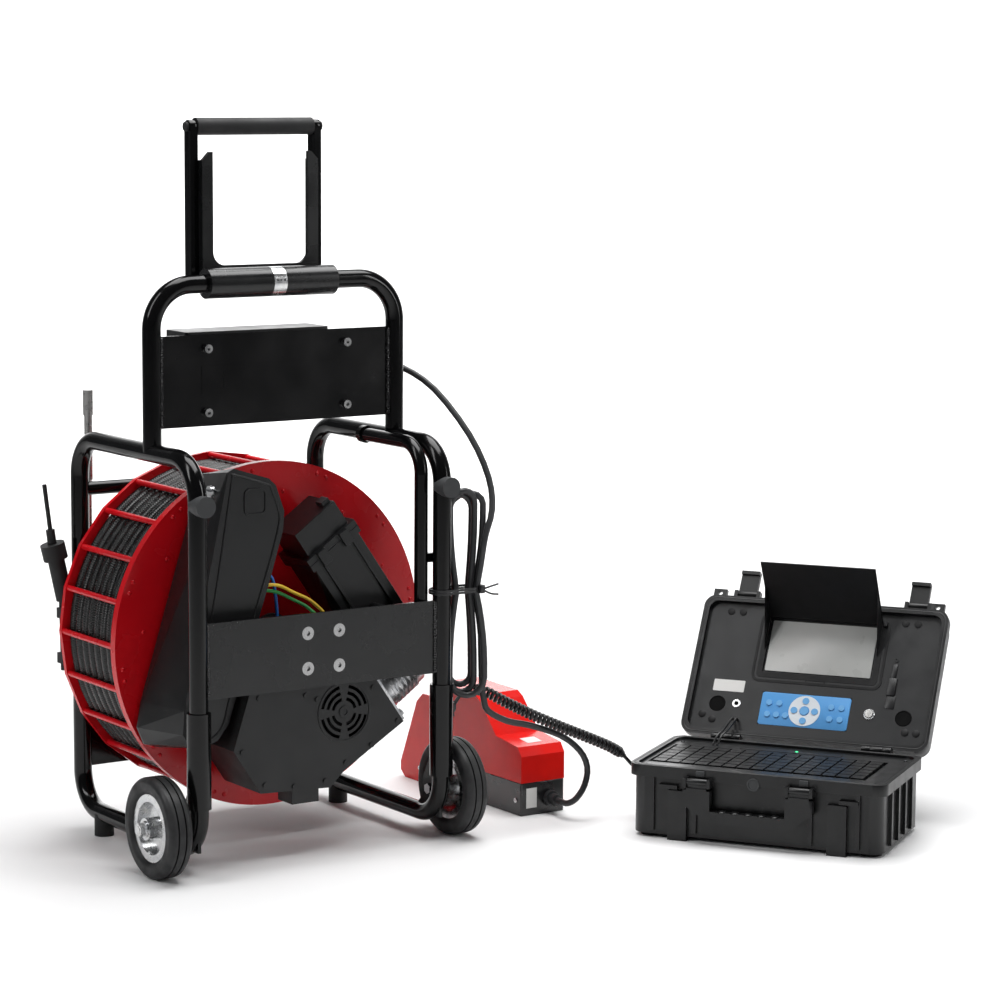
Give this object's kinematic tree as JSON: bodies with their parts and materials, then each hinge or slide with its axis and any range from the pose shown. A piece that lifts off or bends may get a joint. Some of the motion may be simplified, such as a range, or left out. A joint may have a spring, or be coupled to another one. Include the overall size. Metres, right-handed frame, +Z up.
{
  "type": "pipe inspection camera",
  "caption": "Pipe inspection camera: powered cable reel on a wheeled tube frame, with a hooded foot pedal and an open monitor case with a keyboard.",
  "frame": {"origin": "middle of the whole set's floor area, on the floor", "axes": "+X to the right along the reel frame's front plate, +Y to the rear along the reel axis, +Z up"},
  "size_m": [1.323, 0.8755, 1.098],
  "materials": {
    "frame_black": "gloss black powder coat",
    "plate_black": "satin black powder coat",
    "zinc": "bright zinc plate",
    "rubber_black": "matt moulded rubber",
    "reel_red": "gloss red paint",
    "barrel_grey": "satin dark paint",
    "cable_black": "black cable jacket",
    "tyre_black": "moulded tyre",
    "case_black": "textured moulded plastic",
    "cast_aluminium": "rough die casting",
    "wire_colours": "coloured wire insulation",
    "camera_steel": "turned stainless steel",
    "pedal_red": "hammered gloss red paint",
    "panel_dark": "satin dark plastic",
    "key_black": "matt black key caps",
    "keypad_blue": "light blue membrane"
  },
  "bodies": {
    "root": {"side_frame_left": "frame_black", "side_frame_right": "frame_black", "rear_frame_bars": "frame_black", "front_plate": "plate_black", "frame_bolts": "zinc", "post_sleeves": "plate_black", "wheel_brackets": "frame_black", "wheel_axles": "zinc", "rubber_feet": "rubber_black", "post_buffers": "rubber_black", "upper_hoop": "frame_black", "upper_panel": "plate_black", "control_box": "case_black", "cable_conduit": "frame_black", "reel_spindle": "zinc", "clamp_collar": "zinc", "battery_cover": "case_black", "battery_case": "case_black", "battery_lid": "case_black", "drive_box": "plate_black", "drive_box_cover": "plate_black", "drive_motor": "cast_aluminium", "wire_harness": "wire_colours", "guide_hose": "rubber_black", "camera_head": "camera_steel", "cable_sockets": "cable_black", "pedal_base": "case_black", "pedal_hood": "pedal_red", "pedal_gland": "cable_black", "case_base": "case_black", "keyboard_deck": "panel_dark", "pedal_cord_upper": "cable_black", "pedal_cord_hank": "cable_black", "pedal_cord_lower": "cable_black", "curly_cord": "cable_black"},
    "drum": {"drum_flange": "reel_red", "drum_cage": "reel_red", "drum_barrel": "barrel_grey", "drum_hub": "zinc", "wound_cable": "cable_black"},
    "wheel_left": {"tyre_left": "tyre_black", "rim_left": "zinc"},
    "wheel_right": {"tyre_right": "tyre_black", "rim_right": "zinc"},
    "handle": {"handle_sleeve": "case_black", "handle_bracket": "plate_black", "handle_bars": "plate_black", "handle_grip": "rubber_black"},
    "cover_knob": {"cover_knob": "zinc"},
    "fan": {"fan_rotor": "case_black"},
    "treadle": {"pedal_treadle": "case_black"},
    "lid": {"case_lid": "case_black", "monitor_panel": "panel_dark"},
    "shade": {"sunshade": "panel_dark"},
    "keypad": {"keypad_buttons": "keypad_blue"},
    "power": {"power_button": "camera_steel"},
    "latch_left": {"latch_left": "case_black"},
    "latch_right": {"latch_right": "case_black"},
    "keys": {"keyboard_keys": "key_black"},
    "case_handle": {"case_handle": "case_black"}
  },
  "joints": [
    {"name": "drum_spin", "type": "hinge", "parent": "root", "child": "drum", "pos_m": [-0.36417, 0.27472, 0.317], "axis": [0, 1, 0], "continuous": true},
    {"name": "wheel_left_spin", "type": "hinge", "parent": "root", "child": "wheel_left", "pos_m": [-0.62717, 0.05472, 0.075], "axis": [1, 0, 0], "continuous": true},
    {"name": "wheel_right_spin", "type": "hinge", "parent": "root", "child": "wheel_right", "pos_m": [-0.11517, 0.05472, 0.075], "axis": [1, 0, 0], "continuous": true},
    {"name": "handle_fold", "type": "hinge", "parent": "root", "child": "handle", "pos_m": [-0.36417, 0.16372, 0.855], "axis": [1, 0, 0], "range_deg": [0, 170]},
    {"name": "knob_turn", "type": "hinge", "parent": "root", "child": "cover_knob", "pos_m": [-0.51117, 0.09672, 0.555], "axis": [1, 0, 0], "continuous": true},
    {"name": "fan_spin", "type": "hinge", "parent": "root", "child": "fan", "pos_m": [-0.31717, 0.05472, 0.214], "axis": [0, 1, 0], "continuous": true},
    {"name": "pedal_press", "type": "hinge", "parent": "root", "child": "treadle", "pos_m": [0.07433, 0.22272, 0.05], "axis": [-1, 0, 0], "range_deg": [0, 10], "stiffness_Nm_per_rad": 14, "springref_deg": -11.46},
    {"name": "lid_close", "type": "hinge", "parent": "root", "child": "lid", "pos_m": [0.30311, 0.02917, 0.114], "axis": [0.5592, -0.829, 0], "range_deg": [0, 123]},
    {"name": "shade_fold", "type": "hinge", "parent": "lid", "child": "shade", "pos_m": [0.52147, -0.07324, 0.29356], "axis": [0.5592, -0.829, 0], "range_deg": [0, 117]},
    {"name": "latch_left_flip", "type": "hinge", "parent": "lid", "child": "latch_left", "pos_m": [0.46534, 0.05898, 0.32107], "axis": [0.5592, -0.829, 0], "range_deg": [0, 90]},
    {"name": "latch_right_flip", "type": "hinge", "parent": "lid", "child": "latch_right", "pos_m": [0.62527, -0.17812, 0.32107], "axis": [0.5592, -0.829, 0], "range_deg": [0, 90]},
    {"name": "keypad_press", "type": "slide", "parent": "lid", "child": "keypad", "axis": [0.6953, 0.469, -0.5446], "range_m": [0, 0.001], "stiffness_N_per_m": 600},
    {"name": "power_press", "type": "slide", "parent": "lid", "child": "power", "axis": [0.6953, 0.469, -0.5446], "range_m": [0, 0.0015], "stiffness_N_per_m": 400},
    {"name": "keys_press", "type": "slide", "parent": "root", "child": "keys", "axis": [0, 0, -1], "range_m": [0, 0.002], "stiffness_N_per_m": 2500, "springref_m": -0.002},
    {"name": "case_handle_swing", "type": "hinge", "parent": "root", "child": "case_handle", "pos_m": [0.20408, -0.27466, 0.096], "axis": [-0.5592, 0.829, 0], "range_deg": [0, 90]}
  ],
  "couplings": [
    {"joint": "shade_fold", "follows": "lid_close", "ratio": 0.95}
  ]
}
